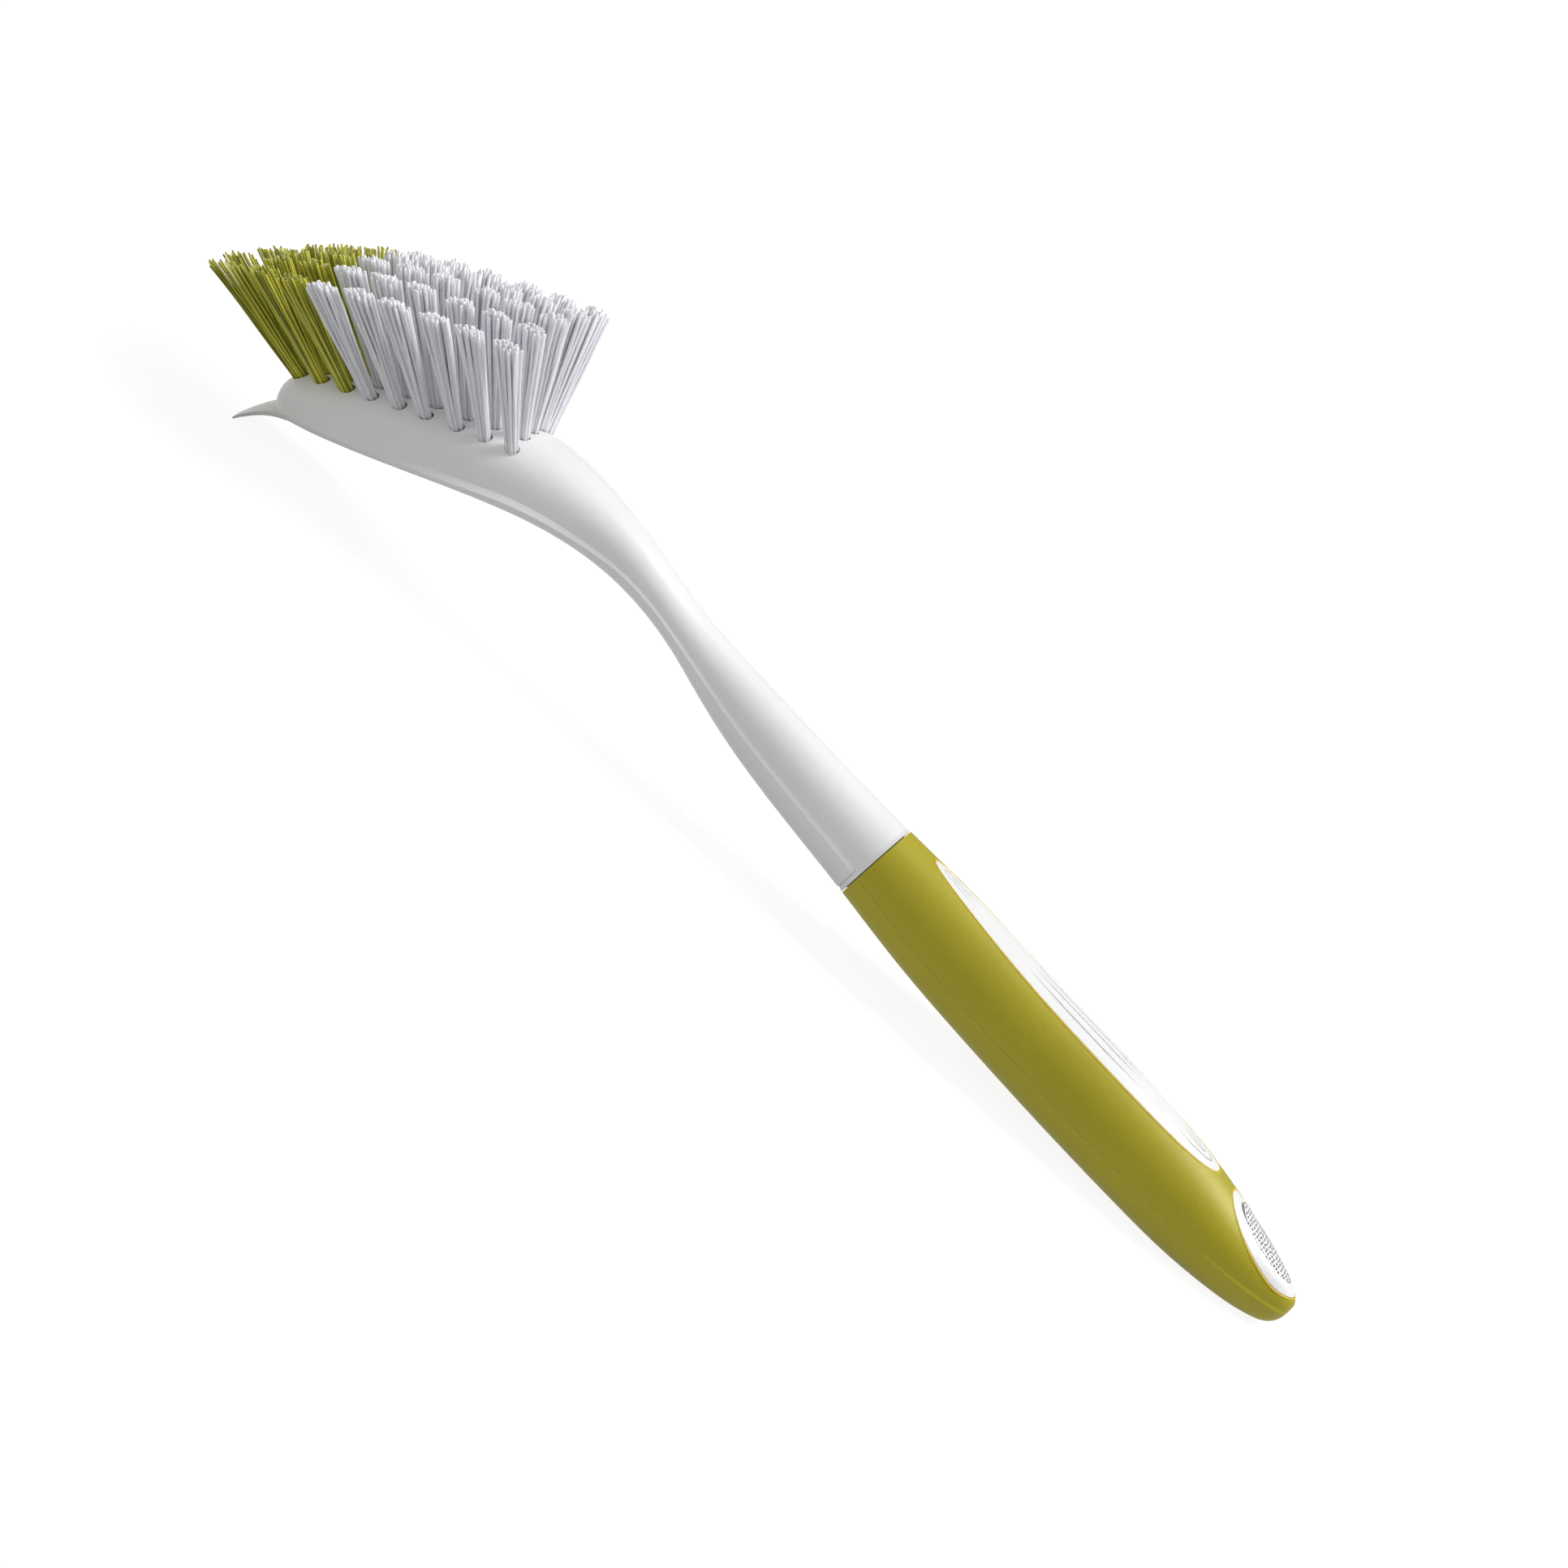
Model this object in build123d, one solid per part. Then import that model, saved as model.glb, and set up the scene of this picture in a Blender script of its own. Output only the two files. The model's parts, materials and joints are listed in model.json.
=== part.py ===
from build123d import *
import math
import os

# Dish brush, in millimetres. It is drawn in the head's own frame: X runs from the nose
# towards the handle, Y across, Z along the bristles, with zero on the spine under the
# middle of the tufts. At the end it is laid on its back, on the scraper and the tail.

# Head
head_half_width = 15.2
head_rise = 9.2              # spine up to the crown of the deck
head_depth = 4.0             # spine down to the flat back
head_drop = 2.4              # spine down to the seam line along the sides
nose_reach = 31.6            # middle of the tufts to the nose
nose_length = 30.0           # length of the nose's rounding
deck_end = 14.0              # where the deck starts to narrow

# Neck: a bend down from the head, a straight run, then a slight bend back
bend_start = 26.0
bend_radius = 45.0
bend_angle = 36.0
neck_run = 30.0
shoulder_radius = 180.0
shoulder_angle = 6.0
keel_place = 42.0            # deepest place of the keel under the bend
keel_half_width = 9.6
keel_rise = 6.3
keel_depth = 5.8
keel_drop = 3.4
waist_place = 72.0           # slimmest place of the neck
waist_half_width = 6.6
waist_rise = 5.7
waist_depth = 3.2
waist_drop = 0.0

# Grip
grip_start = 134.0           # place of the grip's rim along the spine
grip_length = 124.4
grip_bow_angle = 5.0
grip_half_width = 12.0
grip_rise = 12.2
grip_depth = 8.7
grip_drop = 1.2
grip_wall = 2.0
collar_length = 1.5          # end of the bare neck, flared out to the grip's rim
collar_dip = 0.45            # depth of the fine groove where it starts
rim_gap = 0.25               # fine groove between neck and grip
seam_gap = 0.2               # fine groove round the window and the end ring

# Window: the white core showing through the grip
window_place = 184.9
window_length = 85.2
window_width = 11.7
window_lead = 9.5            # from its middle to its widest place, towards the tail
window_tilt = 0.0
groove_width = 0.5
groove_depth = 0.12
groove_step = 2.3

# End ring and its dotted pad
ring_place = 243.0
ring_length = 25.0
ring_width = 11.3
ring_tilt = 18.0             # slope of the end face against the spine
pad_length = 19.2
pad_width = 7.2
pad_depth = 1.6
pad_sink = 0.15
pad_gap = 0.1

# Scraper, a curved blade under the nose
scraper_root = 23.0          # middle of the tufts to the start of its curve
scraper_radius = 27.7
scraper_angle = 35.5
scraper_half_width = 10.6
scraper_thickness = 3.6
scraper_edge = 0.9

# Tufts
tuft_rows = 5
nose_column_rows = 3         # the first column stands on the narrow nose, in the inner rows only
tuft_row_pitch = 4.6
tuft_field_half_length = 24.3
tuft_diameter = 3.1
tuft_hole_gap = 0.05
tuft_hole_depth = 3.0
tuft_tip_half_length = 30.9
tuft_tip_shift = -7.7        # the tips lean towards the nose
tuft_tip_half_width = 24.8
tuft_tip_height = 34.1       # spine to the crest of the trimmed tips
tuft_crest_place = 10.0      # middle of the tufts to that crest
tuft_crest_run = 60.0        # from the crest to the tips over the nose
tuft_nose_drop = 11.7        # how much lower the tips over the nose are trimmed
tuft_side_drop = 2.3         # how much lower the outer rows are trimmed
tuft_flare_along = 3.6       # half length of a tuft at its tips, along the head
tuft_flare_across = 2.6
nose_lead = 1.8              # how far the middle row's first tufts stand ahead of the outer ones
nose_lean = 4.5              # how much further forward the first column's tips lean
tuft_stand = 0.3             # how far the packed root stands out of its hole
strands_per_tuft = 10
strand_width = 0.4
strand_unevenness = 0.7
green_columns = 3

# Flat wire anchors that staple the tufts
anchor_length = 3.7
anchor_height = 1.6
anchor_thickness = 0.4
anchor_lift = 0.4            # bottom of the hole to the anchor

# Flat panel on the back of the head
panel_length = 34.0
panel_width = 20.0
panel_depth = 0.3

overrun = 2.0                # how far every cut passes what it cuts

# Shares of the sizes above that give the sections between them
quarter_share = 0.5523       # handle length of a quarter ellipse drawn as one curve
deck_share = 0.70            # the same for the fuller quarters of the deck's dome
window_tail_share = 0.70     # and for those of the window's end nearer the tail
ledge_share = 0.07           # width of the seam ledge, of the half width
lift_share = 0.10            # height of the seam ledge, of the rise
head_flat_share = 0.85       # flat part of the back, of the half width
handle_flat_share = 0.42
nose_angles = (86.0, 76.0, 62.0, 44.0, 24.0)
nose_power = 0.68            # fullness of the nose: one is an ellipse, less is blunter
crest_power = 2.5            # how late the trimmed tips fall away from their crest
# how far each station between two named ones has gone: place, width, rise, depth, drop
keel_shares = ((0.5, 0.36, 0.0, 0.72, 0.6),)
waist_shares = ((0.47, 0.78, 1.15, 0.62, 0.68),)
rim_shares = ((0.14, 0.10, 0.20, 0.17, 0.0), (0.30, 0.27, 0.47, 0.40, 0.1))
# sections of the grip as shares of its length and largest sizes, and of the full seam ledge
grip_shares = (
    (0.00, 0.83, 0.87, 0.79, 0.35, 0.25),
    (0.13, 0.92, 0.955, 0.90, 1.0, 0.2),
    (0.33, 1.0, 0.985, 0.965, 1.0, 0.2),
    (0.53, 1.0, 1.0, 1.0, 1.0, 0.2),
    (0.68, 0.965, 0.93, 1.01, 1.0, 0.25),
    (0.785, 0.885, 0.80, 1.0, 1.0, 0.35),
    (0.87, 0.745, 0.62, 0.92, 1.0, 0.6),
    (0.925, 0.59, 0.49, 0.83, 1.0, 0.9),
    (0.96, 0.44, 0.37, 0.73, 1.0, 1.2),
    (0.985, 0.30, 0.24, 0.58, 0.9, 1.4),
    (0.996, 0.18, 0.15, 0.40, 0.8, 1.4),
    (1.00, 0.06, 0.05, 0.18, 0.6, 1.4),
)
scraper_width_shares = ((0.0, 1.0), (0.35, 0.89), (0.7, 0.79), (0.92, 0.685), (1.0, 0.56))
tuft_column_shares = (-1.113, -0.875, -0.609, -0.373, -0.108, 0.147, 0.445, 0.709, 0.97)
# how far the first columns draw in, of a row's pitch, and stand forward, of the nose's lead
nose_column_shares = ((0.09, 1.0), (0.48, 1.0), (0.13, 0.4))


def between(low, high, share):
    """A value that has gone a share of the way from low to high."""
    return low + (high - low) * share


def spine_plane(place):
    """Plane square to the spine, at a place measured along it from the middle of the tufts."""
    bend_run = bend_radius * math.radians(bend_angle)
    shoulder_run = shoulder_radius * math.radians(shoulder_angle)
    grip_run = grip_start + grip_length - bend_start - bend_run - neck_run - shoulder_run
    runs = (
        (nose_reach + bend_start, 0.0),
        (bend_run, bend_angle),
        (neck_run, 0.0),
        (shoulder_run, -shoulder_angle),
        (grip_run, -grip_bow_angle),
    )
    x, z, slope = -nose_reach, 0.0, 0.0
    left = place + nose_reach
    for length, turn in runs:
        step = min(left, length)
        angle = math.radians(turn) * step / length
        if turn:
            radius = length / math.radians(turn)
            x += radius * (math.sin(slope + angle) - math.sin(slope))
            z += radius * (math.cos(slope + angle) - math.cos(slope))
        else:
            x += step * math.cos(slope)
            z -= step * math.sin(slope)
        slope += angle
        left -= step
        if left <= 0:
            break
    heading = (math.cos(slope), 0, -math.sin(slope))
    return Plane(origin=(x, 0, z), x_dir=(0, 1, 0), z_dir=heading)


def quarter(centre, across, up, share=quarter_share):
    """Quarter oval from its end across to its end up, as one curve."""
    x, y = centre
    return Bezier(
        (x + across, y),
        (x + across, y + share * up),
        (x + share * across, y + up),
        (x, y + up),
    )


def section(place, half_width, rise, depth, drop, ledge_scale=1):
    """One section of the body: domed top, a seam ledge each side, flat back with round corners.

    Rise and depth are measured from the spine, and the seam line lies a drop below it.
    """
    up = rise + drop
    down = depth - drop
    ledge = ledge_share * half_width * ledge_scale
    lift = lift_share * up * ledge_scale
    share = min(max((place - deck_end) / (waist_place - deck_end), 0), 1)
    flat = between(head_flat_share, handle_flat_share, share) * half_width
    dome_share = between(deck_share, quarter_share, share)
    shoulder = half_width - ledge
    outline = Wire([
        quarter((0, lift), shoulder, up - lift, dome_share),
        quarter((0, lift), -shoulder, up - lift, dome_share),
        Line((-shoulder, lift), (-half_width, 0)),
        quarter((-flat, 0), flat - half_width, -down),
        Line((-flat, -down), (flat, -down)),
        quarter((flat, 0), half_width - flat, -down),
        Line((half_width, 0), (shoulder, lift)),
    ])
    return Face(outline).moved(spine_plane(place).location * Location((0, -drop, 0)))


def head_stations():
    """Nose and deck: place, half width, rise, depth and drop of each section."""
    crown = head_rise + head_drop
    stations = []
    for angle in nose_angles:
        place = nose_length - nose_reach - nose_length * math.sin(math.radians(angle))
        taper = math.cos(math.radians(angle)) ** nose_power
        rise = crown * taper - head_drop
        stations.append((place, head_half_width * taper, rise, head_depth, head_drop))
    for place in (nose_length - nose_reach, deck_end):
        stations.append((place, head_half_width, head_rise, head_depth, head_drop))
    return stations


def blend(first, last, shares):
    """Stations on the way from one station to the next, then that next one."""
    stations = []
    for row in shares:
        stations.append(tuple(between(a, b, share) for a, b, share in zip(first, last, row)))
    return stations + [last]


def grip_stations():
    """Rim to tail: place, half width, rise, depth and drop of each section."""
    sizes = (grip_half_width, grip_rise, grip_depth, grip_drop)
    stations = []
    for place, *shares in grip_shares:
        lengths = [size * share for size, share in zip(sizes, shares)]
        stations.append((grip_start + grip_length * place, *lengths))
    return stations


def grip_ledges():
    """Share of the full seam ledge at each of the grip's stations."""
    return [row[-1] for row in grip_shares]


def body_stations():
    """Every station of the outer form, from nose to tail."""
    deck = head_stations()
    keel = (keel_place, keel_half_width, keel_rise, keel_depth, keel_drop)
    waist = (waist_place, waist_half_width, waist_rise, waist_depth, waist_drop)
    grip = grip_stations()
    neck = blend(deck[-1], keel, keel_shares) + blend(keel, waist, waist_shares)
    return deck + neck + blend(waist, grip[0], rim_shares)[:-1] + grip


def skin(stations, ledges=()):
    """Smooth solid through its stations, with the full seam ledge or a share of it at each."""
    ledges = ledges or [1] * len(stations)
    return loft([section(*station, ledge) for station, ledge in zip(stations, ledges)])


def inset_grip(inset):
    """The grip's form drawn in evenly, from just before the rim to just short of the tail."""
    keep = 1 - inset / grip_half_width
    run = 1 - inset / grip_length
    stations = []
    for place, *lengths in grip_stations():
        new_place = grip_start + (place - grip_start) * run
        stations.append((new_place, *[length * keep for length in lengths]))
    first_place, *lengths = stations[0]
    ledges = grip_ledges()
    return skin([(first_place - overrun, *lengths)] + stations, ledges[:1] + ledges)


def half_space(place, side):
    """Large block on one side of the plane square to the spine at a place."""
    size = 2 * (grip_start + grip_length)
    return extrude(spine_plane(place) * Rectangle(size, size), amount=side * size)


def handle_prism(place, tilt, size, lead=0, tail_share=quarter_share):
    """Oval prism that stands on the bristle side of the handle, over a place on the spine.

    Its widest place lies a lead beyond its middle, and the half nearer the tail can be fuller.
    """
    station = spine_plane(place)
    base = Plane(origin=station.origin, x_dir=station.z_dir, z_dir=station.y_dir)
    base = base.rotated((0, tilt, 0))
    half_length, half_width = [span / 2 for span in size]
    ends = ((half_length - lead, tail_share), (-half_length - lead, quarter_share))
    outline = []
    for across, share in ends:
        for up in (half_width, -half_width):
            outline.append(quarter((lead, 0), across, up, share))
    return extrude(base * Face(Wire(outline)), amount=grip_rise + overrun)


def make_collar():
    """End of the bare neck: it starts in a fine groove and flares out to the grip's rim."""
    _, *lengths = grip_stations()[0]
    keep = 1 - collar_dip / lengths[0]
    ledge = grip_ledges()[0]
    start = section(grip_start - collar_length, *[length * keep for length in lengths], ledge)
    end = section(grip_start - rim_gap, *lengths, ledge)
    return loft([start, end])


def scraper_plane(share):
    """Plane square to the scraper's blade, on its underside, at a share of its curve."""
    turn = math.radians(scraper_angle * share)
    x = -scraper_root - scraper_radius * math.sin(turn)
    z = -head_depth - scraper_radius * (1 - math.cos(turn))
    heading = (-math.cos(turn), 0, -math.sin(turn))
    return Plane(origin=(x, 0, z), x_dir=(0, -1, 0), z_dir=heading)


def scraper_section(share, width_share):
    """Section of the scraper's blade at a share of its curve.

    It is flat below with round corners, like the head that it runs out of, and crowned above.
    """
    half_width = scraper_half_width * width_share
    thickness = between(scraper_thickness, scraper_edge, share)
    side = thickness / 2
    flat = head_flat_share * half_width
    outline = Wire([
        Line((-flat, 0), (flat, 0)),
        quarter((flat, side), half_width - flat, -side),
        ThreePointArc((half_width, side), (0, thickness), (-half_width, side)),
        quarter((-flat, side), flat - half_width, -side),
    ])
    return Face(outline).moved(scraper_plane(share).location)


def make_scraper():
    """Curved blade that runs out from under the nose."""
    return loft([scraper_section(share, width) for share, width in scraper_width_shares])


def tuft_places():
    """Row, column and place on the deck of each tuft."""
    places = []
    for column, share in enumerate(tuft_column_shares):
        outermost = (nose_column_rows - 1) / 2 if column == 0 else (tuft_rows - 1) / 2
        tuck, lead = nose_column_shares[column] if column < len(nose_column_shares) else (0, 0)
        for row in range(tuft_rows):
            offset = row - (tuft_rows - 1) / 2
            if abs(offset) > outermost:
                continue
            forward = nose_lead * lead * (1 - (offset / outermost) ** 2)
            drawn_in = 1 - tuck * 2 / (tuft_rows - 1)
            x = tuft_field_half_length * share - forward
            places.append((row, column, x, offset * tuft_row_pitch * drawn_in))
    return places


def trim_height(x, y):
    """Height of the trimmed tips over a place."""
    onward = abs(x - tuft_crest_place) / tuft_crest_run
    outward = y / tuft_tip_half_width
    lower = tuft_nose_drop * onward ** crest_power + tuft_side_drop * outward ** 2
    return tuft_tip_height - lower


def tuft_axis(deck, column, x, y):
    """Foot of a tuft on the deck, and its tip."""
    hits = deck.find_intersection_points(Axis((x, y, 0), (0, 0, 1)))
    foot = max((point for point, _ in hits), key=lambda point: point.Z)
    half_rows = tuft_row_pitch * (tuft_rows - 1) / 2
    lean = nose_lean if column == 0 else 0
    tip_x = tuft_tip_shift - lean + x * tuft_tip_half_length / tuft_field_half_length
    tip_y = y * tuft_tip_half_width / half_rows
    return foot, Vector(tip_x, tip_y, trim_height(tip_x, tip_y))


def tuft_plane(foot, tip):
    """Plane at a tuft's foot, square to the tuft, with X along the head."""
    heading = (tip - foot).normalized()
    return Plane(origin=foot, x_dir=Vector(1, 0, 0) - heading * heading.X, z_dir=heading)


def strand(plane, foot, tip, number, mirror):
    """One bristle: a four-sided bar from inside the tuft's root to the trimmed surface."""
    golden = math.radians(180 * (3 - math.sqrt(5)))
    spread = math.sqrt((number + 1 / 2) / strands_per_tuft)
    angle = golden * number * mirror
    along, across = spread * math.cos(angle), spread * math.sin(angle)
    root = tuft_diameter / 2 - strand_width
    start = plane.from_local_coords((root * along, root * across, tuft_stand / 2))
    end = plane.from_local_coords(
        (tuft_flare_along * along, tuft_flare_across * across, (tip - foot).length)
    )
    uneven = strand_unevenness * math.sin(number * golden + foot.X)
    reach = (trim_height(end.X, end.Y) - uneven - start.Z) / (end.Z - start.Z)
    run = (end - start) * reach
    low = Plane(origin=start, x_dir=plane.x_dir, z_dir=run.normalized())
    return extrude(low * Rectangle(strand_width, strand_width), amount=run.length)


def tuft_root(plane, gap, extra):
    """Cylinder of a tuft's root, or of the hole that takes it, with a gap and extra length."""
    floor = Plane(origin=plane.origin - plane.z_dir * tuft_hole_depth, z_dir=plane.z_dir)
    circle = Circle(tuft_diameter / 2 + gap)
    return extrude(floor * circle, amount=tuft_hole_depth + extra)


def make_anchor(plane):
    """Flat wire across a tuft's root, near the bottom of its hole."""
    middle = anchor_lift + anchor_height / 2 - tuft_hole_depth
    seat = Plane(origin=plane.origin + plane.z_dir * middle, x_dir=plane.x_dir, z_dir=plane.z_dir)
    return Location(seat) * Box(anchor_length, anchor_thickness, anchor_height)


def make_tuft(plane, foot, tip, anchor, mirror):
    """One tuft: its root and all its strands in one solid, cut for its anchor."""
    strands = [strand(plane, foot, tip, number, mirror) for number in range(strands_per_tuft)]
    return tuft_root(plane, 0, tuft_stand).fuse(*strands) - anchor


def make_panel():
    """Shallow flat-bottomed recess in the back of the head."""
    oval = SlotOverall(panel_length, panel_width)
    floor = Plane(origin=(0, 0, panel_depth - head_depth), z_dir=(0, 0, -1))
    return extrude(floor * oval, amount=overrun)


def window_prism(margin):
    """Prism of the window, wider all round by a margin."""
    size = [length + 2 * margin for length in (window_length, window_width)]
    return handle_prism(window_place, window_tilt, size, window_lead, window_tail_share)


def ring_prism(margin):
    """Prism of the end ring, wider all round by a margin."""
    size = [length + 2 * margin for length in (ring_length, ring_width)]
    return handle_prism(ring_place, ring_tilt, size)


def pad_prism(margin):
    """Prism of the pad in the end ring, wider all round by a margin."""
    size = [length + 2 * margin for length in (pad_length, pad_width)]
    return handle_prism(ring_place, ring_tilt, size)


def window_grooves():
    """Two fine concentric grooves in the face of the window."""
    grooves = []
    for count in (1, 2):
        outer = -groove_step * count
        grooves.append(window_prism(outer) - window_prism(outer - groove_width))
    return grooves


def make_shell():
    """White body without its tuft holes, the grip round it, and the dotted pad in its end."""
    stations = body_stations()
    ledges = grip_ledges()
    ledges = ledges[:1] * (len(stations) - len(ledges)) + ledges
    neck = skin(stations) - half_space(grip_start - collar_length, 1)
    shaft = skin(stations, ledges) - half_space(grip_start, -1)
    core = inset_grip(grip_wall)
    window_post = shaft & window_prism(0)
    groove_floor = inset_grip(groove_depth)
    for groove in window_grooves():
        window_post -= groove - groove_floor

    pad_floor = inset_grip(pad_depth)
    ring_post = (shaft & ring_prism(0)) - (pad_prism(0) - pad_floor)
    end_pad = (inset_grip(pad_sink) & pad_prism(-pad_gap)) - pad_floor

    body = neck + make_collar() + core + window_post + ring_post + make_scraper()
    body -= make_panel()
    grip = shaft - core - window_prism(seam_gap) - ring_prism(seam_gap)
    return body, grip, end_pad


def rest_pitch():
    """Angle that lays the brush on the scraper's edge and the back of the handle."""
    edge = scraper_plane(1.0).origin
    pitches = []
    for place, _, _, depth, _ in grip_stations():
        heel = spine_plane(place).from_local_coords((0, -depth, 0))
        pitches.append(math.degrees(math.atan2(edge.Z - heel.Z, heel.X - edge.X)))
    return max(pitches)


def laid_down(pieces):
    """The same pieces, laid on the floor with the middle of their outline over zero."""
    turned = {name: Rot(0, -rest_pitch(), 0) * piece for name, piece in pieces.items()}
    box = Compound(list(turned.values())).bounding_box()
    shift = Location((-box.center().X, -box.center().Y, -box.min.Z))
    return {name: shift * piece for name, piece in turned.items()}


def main():
    """Builds every piece, lays the brush down and writes one file for each piece."""
    body, grip, end_pad = make_shell()
    holes = []
    anchors = []
    tufts = {}
    for row, column, x, y in tuft_places():
        foot, tip = tuft_axis(body, column, x, y)
        plane = tuft_plane(foot, tip)
        anchor = make_anchor(plane)
        anchors.append(anchor)
        holes.append(tuft_root(plane, tuft_hole_gap, overrun))
        colour = "green" if column < green_columns else "white"
        name = f"{colour}_tuft_row{row + 1}_{column + 1}"
        tufts[name] = make_tuft(plane, foot, tip, anchor, -1 if y > 0 else 1)
    body = body.cut(*holes).cut(*anchors)

    pieces = {"body": body, "grip": grip, "end_pad": end_pad, "tuft_anchors": Compound(anchors)}
    pieces.update(tufts)
    os.makedirs("parts", exist_ok=True)
    for name, piece in laid_down(pieces).items():
        export_step(piece, f"parts/{name}.step")


main()
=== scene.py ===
"""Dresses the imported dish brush: bristles, seam lips and finishes, on a plain pale floor."""

from __future__ import annotations

import json
import logging
import math
import random
from dataclasses import dataclass, field
from enum import Enum

import bpy
from mathutils import Matrix, Vector
from mathutils.bvhtree import BVHTree

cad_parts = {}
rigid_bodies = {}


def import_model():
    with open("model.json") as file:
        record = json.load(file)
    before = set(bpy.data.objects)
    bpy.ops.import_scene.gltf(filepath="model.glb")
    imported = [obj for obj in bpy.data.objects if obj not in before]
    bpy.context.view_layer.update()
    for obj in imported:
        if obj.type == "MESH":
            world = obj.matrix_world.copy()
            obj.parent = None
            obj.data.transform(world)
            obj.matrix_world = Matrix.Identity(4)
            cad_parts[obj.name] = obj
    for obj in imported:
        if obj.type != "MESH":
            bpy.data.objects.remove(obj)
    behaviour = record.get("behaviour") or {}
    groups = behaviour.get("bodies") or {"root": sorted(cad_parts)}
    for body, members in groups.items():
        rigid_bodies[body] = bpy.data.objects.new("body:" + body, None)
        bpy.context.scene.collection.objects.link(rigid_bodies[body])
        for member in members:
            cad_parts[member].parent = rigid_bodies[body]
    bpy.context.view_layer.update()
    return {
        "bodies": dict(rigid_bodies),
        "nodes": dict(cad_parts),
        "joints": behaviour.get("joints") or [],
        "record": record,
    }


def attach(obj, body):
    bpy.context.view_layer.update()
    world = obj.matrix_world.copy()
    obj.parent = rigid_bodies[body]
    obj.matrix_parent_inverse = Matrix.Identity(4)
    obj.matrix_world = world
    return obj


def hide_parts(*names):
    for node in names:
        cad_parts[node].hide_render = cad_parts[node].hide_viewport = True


log = logging.getLogger("dish_brush")

MM = 0.001
GOLDEN_ANGLE = math.pi * (3 - math.sqrt(5))
REACH = "reach"


class Colour(Enum):
    """The two colours of bristle on the head."""

    GREEN = "green"
    WHITE = "white"


@dataclass(frozen=True)
class HeadFrame:
    """The head's own frame: X along the head, Y across, Z along the bristles, in millimetres."""

    turn: Matrix
    zero: Vector

    @classmethod
    def from_record(cls, record: dict, panel_height: float = -3.7) -> HeadFrame:
        """Finds the head's frame from the flat panel in its back.

        Args:
            record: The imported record, whose first mount is the panel.
            panel_height: Height of the panel in the head's frame.

        Returns:
            The frame of the head as the brush lies on the floor.
        """
        panel = record["mounts"][0]
        outward = Vector(panel["axis"])
        pitch = math.atan2(outward.x, -outward.z)
        turn = Matrix.Rotation(-pitch, 3, "Y")
        zero = Vector(panel["pos_m"]) - turn @ Vector((0, 0, panel_height)) * MM
        return cls(turn, zero)

    def point(self, place: Vector | tuple) -> Vector:
        """Turns a place in the head's frame into one on the floor.

        Args:
            place: X, Y and Z in millimetres.

        Returns:
            The same place in metres.
        """
        return self.zero + self.turn @ (Vector(place) * MM)

    def direction(self, heading: Vector | tuple) -> Vector:
        """Turns a direction in the head's frame into one on the floor.

        Args:
            heading: The direction, of any length.

        Returns:
            The direction, of length one.
        """
        return (self.turn @ Vector(heading)).normalized()

    def height(self, place: Vector) -> float:
        """Measures a place on the floor against the head's frame.

        Args:
            place: A place in metres.

        Returns:
            Its height along the bristles, in millimetres.
        """
        return (self.turn.transposed() @ (place - self.zero)).z / MM


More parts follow.
